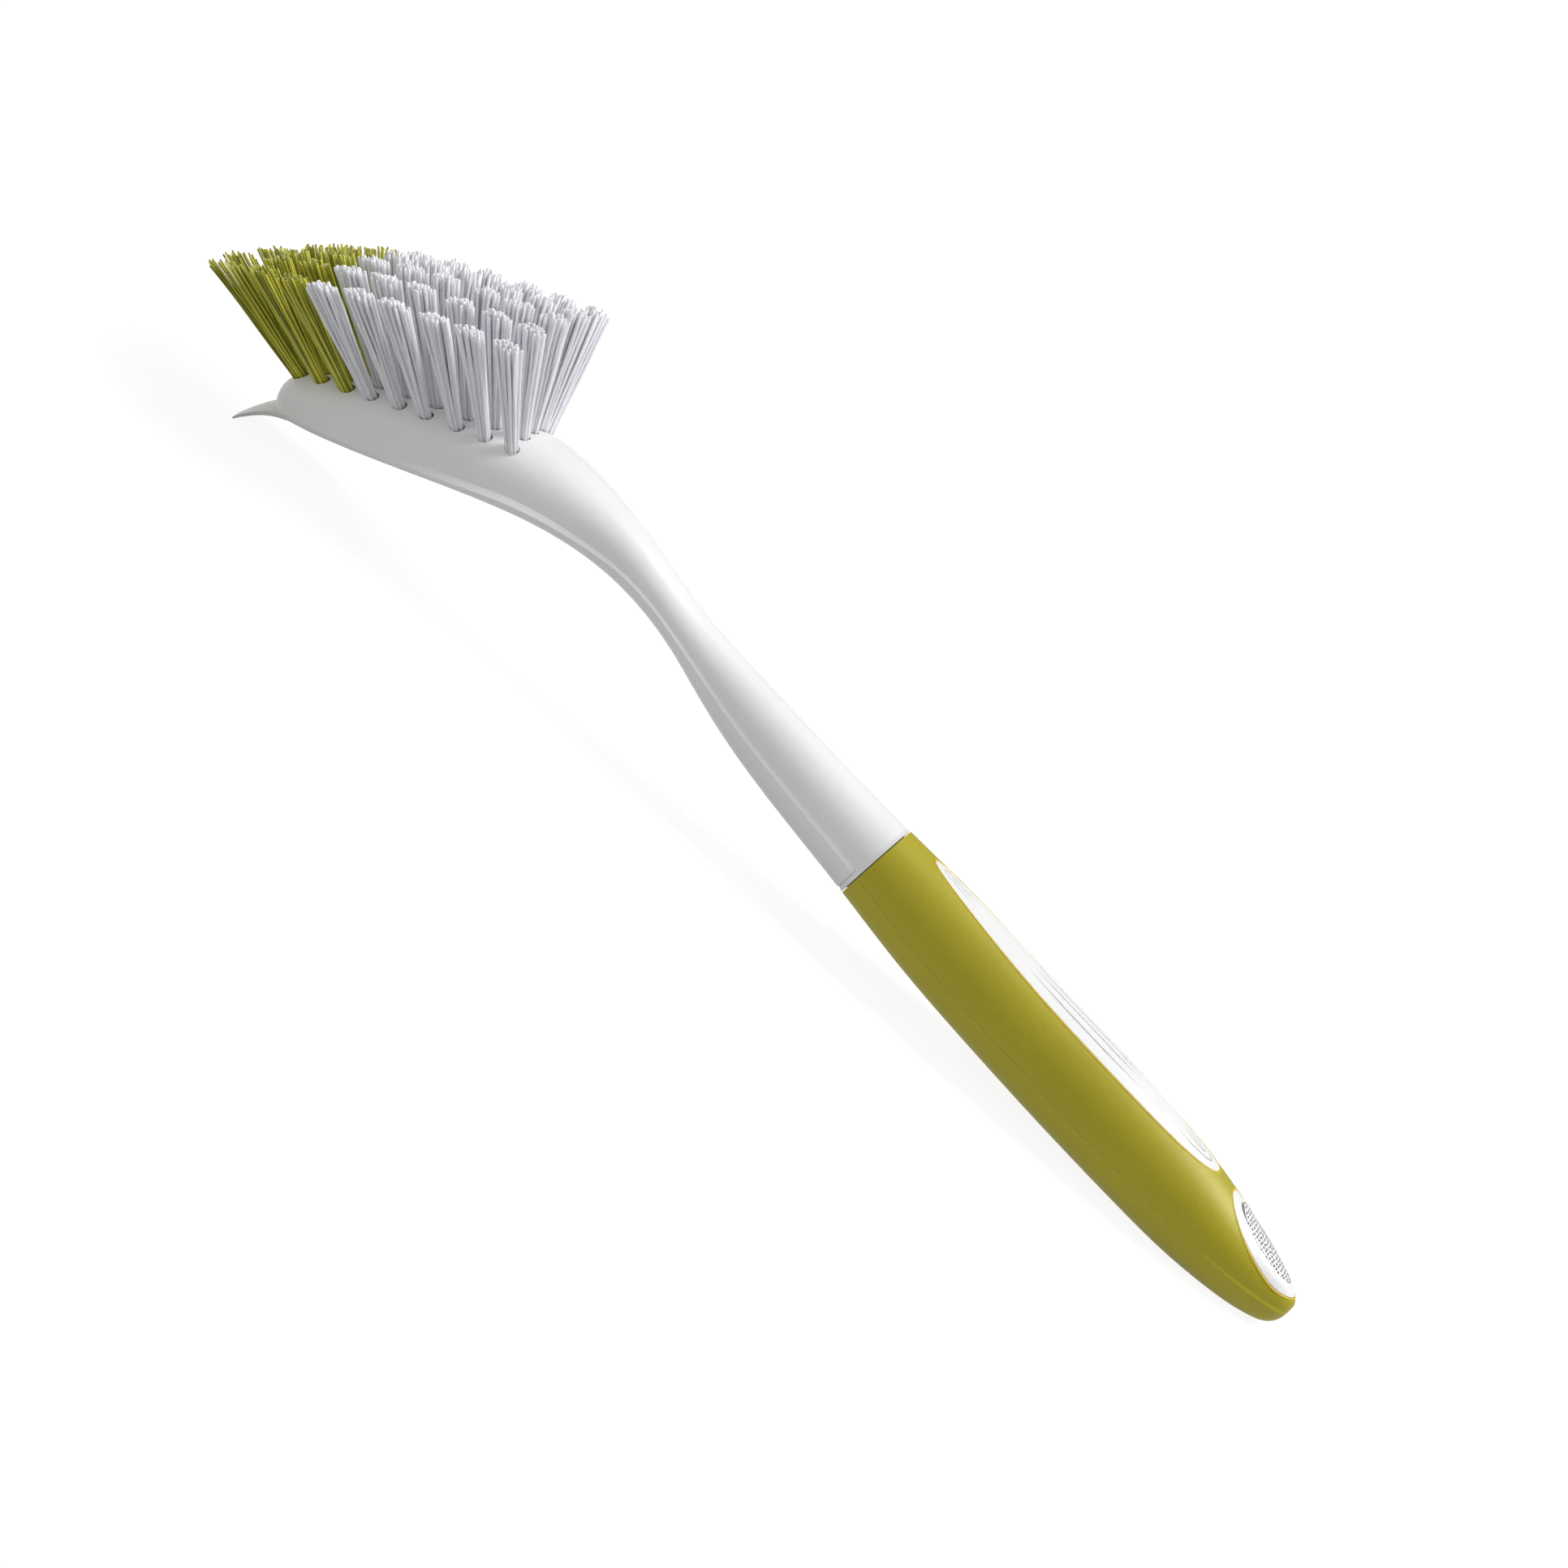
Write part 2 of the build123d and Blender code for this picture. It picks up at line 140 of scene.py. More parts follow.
class NodeTree:
    """Builds a material from nodes with short calls."""

    def __init__(self, name: str) -> None:
        self.material = bpy.data.materials.new(name)
        self.material.use_nodes = True
        self.nodes = self.material.node_tree.nodes
        self.links = self.material.node_tree.links
        self.shader = self.nodes["Principled BSDF"]

    def add(self, kind: str, **settings: object) -> bpy.types.Node:
        """Adds a node.

        Args:
            kind: The node's type.
            **settings: Properties of the node, or values of its inputs where it has no such property.

        Returns:
            The new node.
        """
        node = self.nodes.new(kind)
        for key, value in settings.items():
            if hasattr(node, key):
                setattr(node, key, value)
            else:
                node.inputs[key.replace("_", " ")].default_value = value
        return node

    def join(self, output: object, target: object) -> None:
        """Links an output to an input."""
        self.links.new(output, target)

    def coordinates(self) -> object:
        """Returns the output that gives each point's own place in metres."""
        return self.add("ShaderNodeTexCoord").outputs["Object"]

    def math(self, operation: str, first: object, second: object = 0.0) -> object:
        """Adds one sum.

        Args:
            operation: The math node's operation.
            first: A number or an output.
            second: A number or an output.

        Returns:
            The output with the result.
        """
        node = self.add("ShaderNodeMath", operation=operation)
        for index, value in enumerate((first, second)):
            if isinstance(value, (int, float)):
                node.inputs[index].default_value = value
            else:
                self.join(value, node.inputs[index])
        return node.outputs[0]

    def dot(self, place: object, heading: Vector) -> object:
        """Adds a dot product of a place and a fixed direction and returns its output."""
        node = self.add("ShaderNodeVectorMath", operation="DOT_PRODUCT")
        self.join(place, node.inputs[0])
        node.inputs[1].default_value = heading
        return node.outputs["Value"]

    def noise(self, place: object, scale: float, detail: float = 3.0) -> object:
        """Adds a noise texture over a place, in features per metre, and returns its output."""
        node = self.add("ShaderNodeTexNoise", Scale=scale, Detail=detail)
        self.join(place, node.inputs["Vector"])
        return node.outputs["Fac"]

    def ramp(self, factor: object, stops: tuple) -> object:
        """Adds a colour ramp.

        Args:
            factor: The output that drives it.
            stops: Pairs of a position and a colour of four values.

        Returns:
            The output with the colour.
        """
        node = self.add("ShaderNodeValToRGB")
        elements = node.color_ramp.elements
        while len(elements) < len(stops):
            elements.new(0.5)
        for element, (position, colour) in zip(elements, stops):
            element.position = position
            element.color = colour
        self.join(factor, node.inputs[0])
        return node.outputs["Color"]

    def mix(self, factor: object, first: object, second: object) -> object:
        """Adds a mix of two colours.

        Args:
            factor: The output with the second one's share.
            first: A colour of four values, or an output.
            second: A colour of four values, or an output.

        Returns:
            The output with the mixed colour.
        """
        node = self.add("ShaderNodeMixRGB")
        self.join(factor, node.inputs["Fac"])
        for name, colour in (("Color1", first), ("Color2", second)):
            if isinstance(colour, tuple):
                node.inputs[name].default_value = colour
            else:
                self.join(colour, node.inputs[name])
        return node.outputs["Color"]

    def spread(self, factor: object, low: float, high: float) -> object:
        """Maps a factor from 0 to 1 onto a range and returns the output."""
        node = self.add("ShaderNodeMapRange")
        node.inputs["To Min"].default_value = low
        node.inputs["To Max"].default_value = high
        self.join(factor, node.inputs["Value"])
        return node.outputs["Result"]

    def colour(self, output: object) -> None:
        """Gives the shader its colour from an output."""
        self.join(output, self.shader.inputs["Base Color"])

    def roughness(self, factor: object, span: tuple) -> None:
        """Gives the shader a roughness between two values, driven by a factor."""
        self.join(self.spread(factor, *span), self.shader.inputs["Roughness"])

    def blend(self, first: object, second: object, share: float) -> object:
        """Adds up two factors, the first one with a share and the second with the rest."""
        rest = self.math("MULTIPLY", second, 1 - share)
        return self.math("ADD", self.math("MULTIPLY", first, share), rest)

    def bump(self, height: object, depth: float, strength: float) -> None:
        """Gives the shader a bump from a height, with a depth in metres."""
        node = self.add("ShaderNodeBump", Distance=depth, Strength=strength)
        self.join(height, node.inputs["Height"])
        self.join(node.outputs["Normal"], self.shader.inputs["Normal"])

    def set(self, **values: object) -> None:
        """Sets values on the shader's own inputs, with underscores for spaces."""
        for key, value in values.items():
            self.shader.inputs[key.replace("_", " ")].default_value = value


def opaque(colour: tuple, share: float = 1.0) -> tuple:
    """Returns a colour as four values, darkened by a share."""
    return (*(channel * share for channel in colour), 1.0)


def tones(colour: tuple, shade_share: float, span: tuple = (0.3, 0.7)) -> tuple:
    """Gives the stops of a ramp between a colour's shade and the colour itself.

    Args:
        colour: The colour, of three values.
        shade_share: How much of it the shade has.
        span: Where on the ramp the shade ends and the full colour starts.

    Returns:
        Two pairs of a position and a colour of four values.
    """
    return (span[0], opaque(colour, shade_share)), (span[1], opaque(colour))


@dataclass(frozen=True)
class SatinPlastic:
    """Smooth white moulded plastic with the faintest unevenness."""

    name: str = "satin_white"
    colour: tuple = (0.88, 0.88, 0.875)
    shade_share: float = 0.965
    cloud_scale: float = 40.0
    grain_scale: float = 1800.0
    grain_depth: float = 0.00002
    grain_strength: float = 0.25
    roughness: tuple = (0.30, 0.44)
    glow: float = 0.08
    glow_depth: float = 0.002

    def material(self) -> bpy.types.Material:
        """Returns the finish as a material."""
        tree = NodeTree(self.name)
        place = tree.coordinates()
        cloud = tree.noise(place, self.cloud_scale)
        tree.colour(tree.ramp(cloud, tones(self.colour, self.shade_share)))
        grain = tree.noise(place, self.grain_scale)
        tree.roughness(grain, self.roughness)
        tree.bump(grain, self.grain_depth, self.grain_strength)
        tree.set(Subsurface_Weight=self.glow, Subsurface_Scale=self.glow_depth)
        tree.set(Subsurface_Radius=(1.0, 1.0, 1.0))
        return tree.material


@dataclass(frozen=True)
class SoftGrip:
    """Lime soft-touch rubber with a fine eroded grain."""

    name: str = "soft_lime"
    colour: tuple = (0.44, 0.385, 0.008)
    shade_share: float = 0.88
    shade_span: tuple = (0.32, 0.68)
    cloud_scale: float = 60.0
    grain_scale: float = 2600.0
    grain_detail: float = 4.0
    grain_share: float = 0.6
    grain_depth: float = 0.00006
    grain_strength: float = 0.5
    roughness: tuple = (0.42, 0.56)
    sheen: float = 0.12
    sheen_roughness: float = 0.45
    sheen_tint: tuple = (1.0, 0.95, 0.1)
    gloss: float = 0.8
    gloss_tint: tuple = (1.0, 0.96, 0.6)

    def material(self) -> bpy.types.Material:
        """Returns the finish as a material."""
        tree = NodeTree(self.name)
        place = tree.coordinates()
        grain = tree.noise(place, self.grain_scale, self.grain_detail)
        cloud = tree.noise(place, self.cloud_scale)
        mixed = tree.blend(grain, cloud, self.grain_share)
        tree.colour(tree.ramp(mixed, tones(self.colour, self.shade_share, self.shade_span)))
        tree.roughness(grain, self.roughness)
        tree.bump(grain, self.grain_depth, self.grain_strength)
        tree.set(Sheen_Weight=self.sheen, Sheen_Roughness=self.sheen_roughness)
        tree.set(Sheen_Tint=opaque(self.sheen_tint))
        tree.set(Specular_IOR_Level=self.gloss, Specular_Tint=opaque(self.gloss_tint))
        return tree.material


@dataclass(frozen=True)
class SeamLip:
    """Thin lip of the soft skin along an opening; its bright warm-yellow colour is painted light,
    standing in for light shining through the thin edge.
    """

    name: str = "lip_painted_glow"
    # painted light: this bright warm yellow stands in for light shining through the thin edge of the
    # skin
    colour: tuple = (0.78, 0.57, 0.015)
    shade_share: float = 0.85
    grain_scale: float = 900.0
    grain_depth: float = 0.00003
    grain_strength: float = 0.3
    roughness: tuple = (0.42, 0.55)

    def material(self) -> bpy.types.Material:
        """Returns the finish as a material."""
        tree = NodeTree(self.name)
        grain = tree.noise(tree.coordinates(), self.grain_scale)
        tree.colour(tree.ramp(grain, tones(self.colour, self.shade_share)))
        tree.roughness(grain, self.roughness)
        tree.bump(grain, self.grain_depth, self.grain_strength)
        return tree.material


@dataclass(frozen=True)
class Bristle:
    """Nylon filament: each one differs a little, streaks run along it and its cut tip is paler."""

    name: str
    dark: tuple
    middle: tuple
    light: tuple
    tip: tuple
    tip_start: float
    roughness: float
    glow: float
    tip_full: float = 0.97
    tone_places: tuple = (0.15, 0.5, 0.85)
    strand_share: float = 0.7
    glow_depth: float = 0.002
    streak_scale: float = 260.0
    streak_detail: float = 2.0
    streak_depth: float = 0.00001
    streak_strength: float = 0.1

    def material(self) -> bpy.types.Material:
        """Returns the finish as a material."""
        tree = NodeTree(self.name)
        island = tree.add("ShaderNodeNewGeometry").outputs["Random Per Island"]
        streak = tree.noise(tree.coordinates(), self.streak_scale, self.streak_detail)
        mixed = tree.blend(island, streak, self.strand_share)
        colours = [opaque(colour) for colour in (self.dark, self.middle, self.light)]
        shaft = tree.ramp(mixed, tuple(zip(self.tone_places, colours)))
        reach = tree.add("ShaderNodeAttribute", attribute_name=REACH).outputs["Fac"]
        black, white = opaque((0.0, 0.0, 0.0)), opaque((1.0, 1.0, 1.0))
        tipped = tree.ramp(reach, ((self.tip_start, black), (self.tip_full, white)))
        tree.colour(tree.mix(tipped, shaft, opaque(self.tip)))
        tree.bump(streak, self.streak_depth, self.streak_strength)
        tree.set(Roughness=self.roughness)
        tree.set(Subsurface_Weight=self.glow, Subsurface_Scale=self.glow_depth)
        tree.set(Subsurface_Radius=(1.0, 1.0, 1.0))
        return tree.material


@dataclass(frozen=True)
class AnchorWire:
    """Drawn steel wire of the staples."""

    name: str = "anchor_wire"
    colour: tuple = (0.60, 0.60, 0.58)
    shade_share: float = 0.8
    grain_scale: float = 3000.0
    grain_depth: float = 0.00001
    grain_strength: float = 0.2
    roughness: tuple = (0.3, 0.45)

    def material(self) -> bpy.types.Material:
        """Returns the finish as a material."""
        tree = NodeTree(self.name)
        grain = tree.noise(tree.coordinates(), self.grain_scale)
        tree.colour(tree.ramp(grain, tones(self.colour, self.shade_share)))
        tree.roughness(grain, self.roughness)
        tree.bump(grain, self.grain_depth, self.grain_strength)
        tree.set(Metallic=1.0)
        return tree.material


@dataclass(frozen=True)
class Opening:
    """An oval opening in the grip, in the head's frame and in millimetres.

    Its widest place lies a lead beyond its middle, and the half nearer the tail can be fuller.
    """

    centre: tuple
    slope: float
    length: float
    width: float
    lead: float = 0.0
    head_fullness: float = 0.5523
    tail_fullness: float = 0.5523

    def along(self) -> Vector:
        """Returns the direction along the opening."""
        turn = math.radians(self.slope)
        return Vector((math.cos(turn), 0, -math.sin(turn)))

    def upward(self) -> Vector:
        """Returns the direction out of the opening."""
        turn = math.radians(self.slope)
        return Vector((math.sin(turn), 0, math.cos(turn)))

    def outline(self, count: int, margin: float) -> list[Vector]:
        """Gives points round the oval on its own plane.

        Args:
            count: Number of points in each quarter.
            margin: How far outside the oval they lie.

        Returns:
            The points in the head's frame.
        """
        half_length = self.length / 2 + margin
        half_width = self.width / 2 + margin
        points = []
        for quarter, (end, side) in enumerate(((1, 1), (-1, 1), (-1, -1), (1, -1))):
            reach = end * half_length - self.lead
            fullness = self.tail_fullness if end > 0 else self.head_fullness
            for step in range(count):
                t = (count - step) / count if quarter % 2 else step / count
                s = 1 - t
                ahead = s ** 3 + 3 * s * s * t + 3 * s * t * t * fullness
                aside = 3 * s * s * t * fullness + 3 * s * t * t + t ** 3
                place = Vector(self.centre) + self.along() * (self.lead + ahead * reach)
                points.append(place + Vector((0, aside * side * half_width, 0)))
        return points


WINDOW = Opening(
    centre=(164.26, 0.0, -75.74),
    slope=27.37,
    length=85.2,
    width=11.7,
    lead=9.5,
    tail_fullness=0.70,
)
RING = Opening(centre=(216.28, 0.0, -101.60), slope=43.50, length=25.0, width=11.3)
PAD = Opening(centre=(216.28, 0.0, -101.60), slope=43.50, length=19.2, width=7.2)


@dataclass(frozen=True)
class PittedPad:
    """Pale matt pad with small bumped-in pits in rows, with painted shade: the pits are coloured near
    black, and a thin ring of painted shade runs just inside its oval edge.
    """

    head: HeadFrame
    name: str = "speckled_pad"
    colour: tuple = (0.80, 0.79, 0.80)
    # painted shade: near-black colour of the pits, standing in for the shade inside them
    pit_shade: tuple = (0.05, 0.045, 0.045)
    pitch: float = 0.86
    pit_size: float = 0.29
    pit_disorder: float = 0.35
    oval_power: float = 2.2
    # painted shade: a thin darker ring just inside the oval edge, standing in for the shade along the
    # pad's sunken edge
    edge_shade_at: float = 0.93
    edge_shade_width: float = 0.035
    edge_shade: float = 0.6
    relief: float = 0.0002
    relief_strength: float = 0.6
    roughness: float = 0.6

    def material(self) -> bpy.types.Material:
        """Returns the finish as a material."""
        tree = NodeTree(self.name)
        place = tree.coordinates()
        along = self.head.direction(PAD.along())
        middle = self.head.point(PAD.centre)
        ahead = tree.math("SUBTRACT", tree.dot(place, along), along.dot(middle))
        aside = tree.dot(place, Vector((0, 1, 0)))
        grid = tree.add("ShaderNodeCombineXYZ")
        tree.join(tree.math("DIVIDE", ahead, self.pitch * MM), grid.inputs["X"])
        tree.join(tree.math("DIVIDE", aside, self.pitch * MM), grid.inputs["Y"])
        cells = tree.add("ShaderNodeTexVoronoi", voronoi_dimensions="2D", Scale=1.0)
        cells.inputs["Randomness"].default_value = self.pit_disorder
        tree.join(grid.outputs[0], cells.inputs["Vector"])
        pits = tree.math("LESS_THAN", cells.outputs["Distance"], self.pit_size)
        reach_along = tree.math("DIVIDE", ahead, PAD.length / 2 * MM)
        reach_aside = tree.math("DIVIDE", aside, PAD.width / 2 * MM)
        squares = tree.math(
            "ADD",
            tree.math("POWER", tree.math("ABSOLUTE", reach_along), self.oval_power),
            tree.math("POWER", tree.math("ABSOLUTE", reach_aside), self.oval_power),
        )
        inside = tree.math("LESS_THAN", squares, self.edge_shade_at - 2 * self.edge_shade_width)
        # painted shade: the ring by the sunken edge
        ring = tree.math("COMPARE", squares, self.edge_shade_at)
        ring.node.inputs[2].default_value = self.edge_shade_width
        shaded_pits = tree.math("MULTIPLY", pits, inside)
        edge_shade_mask = tree.math("MULTIPLY", ring, self.edge_shade)
        dark = tree.math("MAXIMUM", shaded_pits, edge_shade_mask)
        # painted shade: the pits and the ring by the sunken edge are coloured dark, and the bump
        # sinks them
        tree.colour(tree.ramp(dark, ((0.0, opaque(self.colour)), (1.0, opaque(self.pit_shade)))))
        tree.bump(tree.math("SUBTRACT", 1.0, dark), self.relief, self.relief_strength)
        tree.set(Roughness=self.roughness)
        return tree.material


@dataclass(frozen=True)
class TuftStyle:
    """How the filaments of one colour are cut and packed, in millimetres."""

    filaments: int
    radius: float
    tip_share: float
    unevenness: float
    doming: float
    sway: float


STYLES = {
    Colour.GREEN: TuftStyle(34, 0.27, 0.78, 1.0, 0.5, 0.35),
    Colour.WHITE: TuftStyle(26, 0.34, 1.0, 0.8, 0.9, 0.30),
}


class RodMesh:
    """Collects round rods into one mesh."""

    def __init__(self, sides: int) -> None:
        self.sides = sides
        self.vertices: list[Vector] = []
        self.faces: list[tuple] = []
        self.reaches: list[float] = []

    def add_rod(self, points: list[Vector], radii: list[float]) -> None:
        """Adds one rod, closed at both ends.

        Args:
            points: Middle of each ring, from root to tip.
            radii: Radius of each ring.
        """
        heading = (points[-1] - points[0]).normalized()
        first = heading.orthogonal().normalized()
        second = heading.cross(first)
        start = len(self.vertices)
        for ring, (middle, radius) in enumerate(zip(points, radii)):
            for side in range(self.sides):
                angle = 2 * math.pi * side / self.sides
                offset = first * math.cos(angle) + second * math.sin(angle)
                self.vertices.append(middle + offset * radius)
                self.reaches.append(ring / (len(points) - 1))
        for ring in range(len(points) - 1):
            low = start + ring * self.sides
            for side in range(self.sides):
                after = (side + 1) % self.sides
                high = low + self.sides
                self.faces.append((low + side, low + after, high + after, high + side))
        top = start + (len(points) - 1) * self.sides
        self.faces.append(tuple(range(start + self.sides - 1, start - 1, -1)))
        self.faces.append(tuple(range(top, top + self.sides)))

    def build(self, name: str) -> bpy.types.Object:
        """Makes the object.

        Args:
            name: Name of the piece.

        Returns:
            The smooth-shaded piece.
        """
        mesh = bpy.data.meshes.new(name)
        mesh.from_pydata(self.vertices, [], self.faces)
        mesh.polygons.foreach_set("use_smooth", [True] * len(mesh.polygons))
        reach = mesh.attributes.new(name=REACH, type="FLOAT", domain="POINT")
        reach.data.foreach_set("value", self.reaches)
        piece = bpy.data.objects.new(name, mesh)
        bpy.context.scene.collection.objects.link(piece)
        return piece


@dataclass(frozen=True)
class TrimSurface:
    """The surface that the tips are trimmed to: a crest that falls towards the nose and the sides."""

    crest_height: float = 34.3
    crest_place: float = 10.0
    crest_run: float = 60.0
    crest_power: float = 2.5
    nose_drop: float = 11.7
    side_drop: float = 2.3
    half_width: float = 24.8

    def height(self, place: Vector) -> float:
        """Returns the height of the trimmed surface over a place in the head's frame."""
        onward = abs(place.x - self.crest_place) / self.crest_run
        outward = place.y / self.half_width
        lower = self.nose_drop * onward ** self.crest_power + self.side_drop * outward ** 2
        return self.crest_height - lower


@dataclass
class Tuft:
    """One tuft of filaments, from its hole to its trimmed tips."""

    head: HeadFrame
    node: str
    colour: Colour
    foot: Vector
    tip: Vector
    trim: TrimSurface
    seed: int

    root_radius: float = 1.6
    flare_along: float = 3.6
    flare_across: float = 2.6
    root_depth: float = 1.5
    straight_share: float = 0.07
    opening_power: float = 1.2
    wander: float = 0.25
    wave: float = 4.5
    least_sway: float = 0.3
    domed_share: float = 0.4
    widest: float = 26.5
    tip_sink: float = 0.4
    rings: int = 10
    sides: int = 8
    rounding: tuple = ((0.45, 0.90), (0.78, 0.64), (0.95, 0.30))

    def axes(self) -> tuple[Vector, Vector, Vector]:
        """Returns the tuft's heading, and its directions along and across the head."""
        heading = (self.tip - self.foot).normalized()
        along = (Vector((1, 0, 0)) - heading * heading.x).normalized()
        return heading, along, heading.cross(along)

    def ends(self, number: int, style: TuftStyle, chance: random.Random) -> tuple[Vector, Vector]:
        """Finds the two ends of one filament.

        Args:
            number: Its number within the tuft.
            style: How this colour is cut and packed.
            chance: Source of its small differences.

        Returns:
            Its root in the hole and its trimmed tip, in the head's frame.
        """
        heading, along, across = self.axes()
        spread = math.sqrt((number + 0.5) / style.filaments)
        angle = GOLDEN_ANGLE * number + self.seed
        ahead, aside = spread * math.cos(angle), spread * math.sin(angle)
        room = self.root_radius - style.radius
        start = self.foot + (along * ahead + across * aside) * room - heading * self.root_depth
        end = self.tip.copy()
        end += along * (ahead * (self.flare_along - style.radius))
        end += across * (aside * (self.flare_across - style.radius))
        end += along * chance.uniform(-self.wander, self.wander)
        end += across * chance.uniform(-self.wander, self.wander)
        cut = style.doming * (spread ** 3 - self.domed_share)
        cut += style.unevenness * (chance.random() - 0.5)
        height = self.trim.height(end) - cut - style.radius * self.tip_sink
        tip = start + (end - start) * ((height - start.z) / (end.z - start.z))
        tip.y = max(-self.widest, min(self.widest, tip.y))
        return start, tip

    def filament(self, number: int, style: TuftStyle, chance: random.Random) -> tuple:
        """Lays out one filament: straight in its hole, then opening out with a slight wave.

        Args:
            number: Its number within the tuft.
            style: How this colour is cut and packed.
            chance: Source of its small differences.

        Returns:
            The ring middles in metres, and their radii.
        """
        heading, along, across = self.axes()
        start, end = self.ends(number, style, chance)
        run = (end - start).dot(heading)
        aside = (end - start) - heading * run
        phases = chance.uniform(0, 2 * math.pi), chance.uniform(0, 2 * math.pi)
        sway = style.sway * chance.uniform(self.least_sway, 1.0)
        points = []
        radii = []
        for ring in range(self.rings):
            reach = ring / (self.rings - 1)
            free = max(0.0, (reach - self.straight_share) / (1 - self.straight_share))
            swing = sway * math.sin(math.pi * reach) * reach
            place = start + heading * run * reach + aside * free ** self.opening_power
            place += along * swing * math.sin(phases[0] + self.wave * reach)
            place += across * swing * math.sin(phases[1] + self.wave * reach)
            points.append(place)
            radii.append(style.radius * (1 + (style.tip_share - 1) * reach))
        onward = (points[-1] - points[-2]).normalized()
        tip, tip_radius = points[-1], radii[-1]
        for step, share in self.rounding:
            points.append(tip + onward * tip_radius * step)
            radii.append(tip_radius * share)
        return [self.head.point(point) for point in points], [radius * MM for radius in radii]

    def build(self, material: bpy.types.Material) -> bpy.types.Object:
        """Makes the tuft in place of its plain solid.

        Args:
            material: Finish of its filaments.

        Returns:
            The new piece.
        """
        style = STYLES[self.colour]
        chance = random.Random(self.seed)
        rods = RodMesh(self.sides)
        for number in range(style.filaments):
            rods.add_rod(*self.filament(number, style, chance))
        piece = rods.build(f"bristles_{self.node}")
        piece.data.materials.append(material)
        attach(piece, "root")
        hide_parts(self.node)
        return piece


@dataclass
class TuftField:
    """Five rows of tufts on the deck: nine columns, of which the first skips the outer rows."""

    head: HeadFrame
    deck: BVHTree
    rows: int = 5
    nose_column_rows: int = 3
    row_pitch: float = 4.6
    half_length: float = 24.3
    tip_half_length: float = 30.9
    tip_shift: float = -7.7
    green_columns: int = 3
    column_shares: tuple = (-1.113, -0.875, -0.609, -0.373, -0.108, 0.147, 0.445, 0.709, 0.97)
    nose_column_shares: tuple = ((0.09, 1.0), (0.48, 1.0), (0.13, 0.4))
    nose_lead: float = 1.8
    nose_lean: float = 4.5
    probe_reach: float = 2.1
    probe_height: float = 40.0
    trim: TrimSurface = field(default_factory=TrimSurface)

    def deck_height(self, x: float, y: float) -> float:
        """Finds the height of the deck round a tuft's hole.

        Args:
            x: Place along the head.
            y: Place across the head.

        Returns:
            The mean height on both sides of the hole, in millimetres.
        """
        down = self.head.direction((0, 0, -1))
        heights = []
        for side in (-self.probe_reach, self.probe_reach):
            above = self.head.point((x, y + side, self.probe_height))
            hit, _, _, _ = self.deck.ray_cast(above, down)
            heights.append(self.head.height(hit))
        return sum(heights) / len(heights)

    def tuft(self, row: int, column: int, x: float, y: float) -> Tuft:
        """Lays out one tuft.

        Args:
            row: Its row, from the camera's side.
            column: Its column, from the nose.
            x: Place of its foot along the head.
            y: Place of its foot across the head.

        Returns:
            The tuft.
        """
        half_rows = self.row_pitch * (self.rows - 1) / 2
        lean = 0.0 if column else self.nose_lean
        tip_x = self.tip_shift - lean + x * self.tip_half_length / self.half_length
        tip = Vector((tip_x, y * self.trim.half_width / half_rows, 0))
        tip.z = self.trim.height(tip)
        foot = Vector((x, y, self.deck_height(x, y)))
        colour = Colour.GREEN if column < self.green_columns else Colour.WHITE
        node = f"{colour.value}_tuft_row{row + 1}_{column + 1}"
        seed = row * len(self.column_shares) + column
        return Tuft(self.head, node, colour, foot, tip, self.trim, seed)

    def tufts(self) -> list[Tuft]:
        """Lays out every tuft, column by column."""
        made = []
        for column, share in enumerate(self.column_shares):
            outermost = ((self.rows if column else self.nose_column_rows) - 1) / 2
            tuck, lead = (0.0, 0.0)
            if column < len(self.nose_column_shares):
                tuck, lead = self.nose_column_shares[column]
            for row in range(self.rows):
                offset = row - (self.rows - 1) / 2
                if abs(offset) > outermost:
                    continue
                forward = self.nose_lead * lead * (1 - (offset / outermost) ** 2)
                drawn_in = 1 - tuck * 2 / (self.rows - 1)
                x = self.half_length * share - forward
                made.append(self.tuft(row, column, x, offset * self.row_pitch * drawn_in))
        return made


@dataclass
class Lip:
    """Thin raised lip of the soft skin round an opening."""

    head: HeadFrame
    skin: BVHTree
    opening: Opening
    name: str
    radius: float = 0.22
    margin: float = 0.26
    sink: float = 0.10
    probe_height: float = 60.0
    quarter_points: int = 28
    sides: int = 10

    def build(self, material: bpy.types.Material) -> bpy.types.Object:
        """Makes the lip as a closed tube on the skin.

        Args:
            material: Finish of the lip.

        Returns:
            The new piece.
        """
        up = self.head.direction(self.opening.upward())
        middles = []
        for place in self.opening.outline(self.quarter_points, self.margin):
            above = self.head.point(place) + up * self.probe_height * MM
            hit, _, _, _ = self.skin.ray_cast(above, -up)
            if hit is not None:
                middles.append(hit - up * self.sink * MM)
        vertices = []
        faces = []
        count = len(middles)
        for index, middle in enumerate(middles):
            heading = (middles[(index + 1) % count] - middles[index - 1]).normalized()
            aside = heading.cross(up).normalized()
            for side in range(self.sides):
                angle = 2 * math.pi * side / self.sides
                offset = aside * math.cos(angle) + up * math.sin(angle)
                vertices.append(middle + offset * self.radius * MM)
                after = (side + 1) % self.sides
                low, high = index * self.sides, (index + 1) % count * self.sides
                faces.append((low + side, low + after, high + after, high + side))
        mesh = bpy.data.meshes.new(self.name)
        mesh.from_pydata(vertices, [], faces)
        mesh.polygons.foreach_set("use_smooth", [True] * len(mesh.polygons))
        mesh.materials.append(material)
        piece = bpy.data.objects.new(self.name, mesh)
        bpy.context.scene.collection.objects.link(piece)
        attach(piece, "root")
        return piece


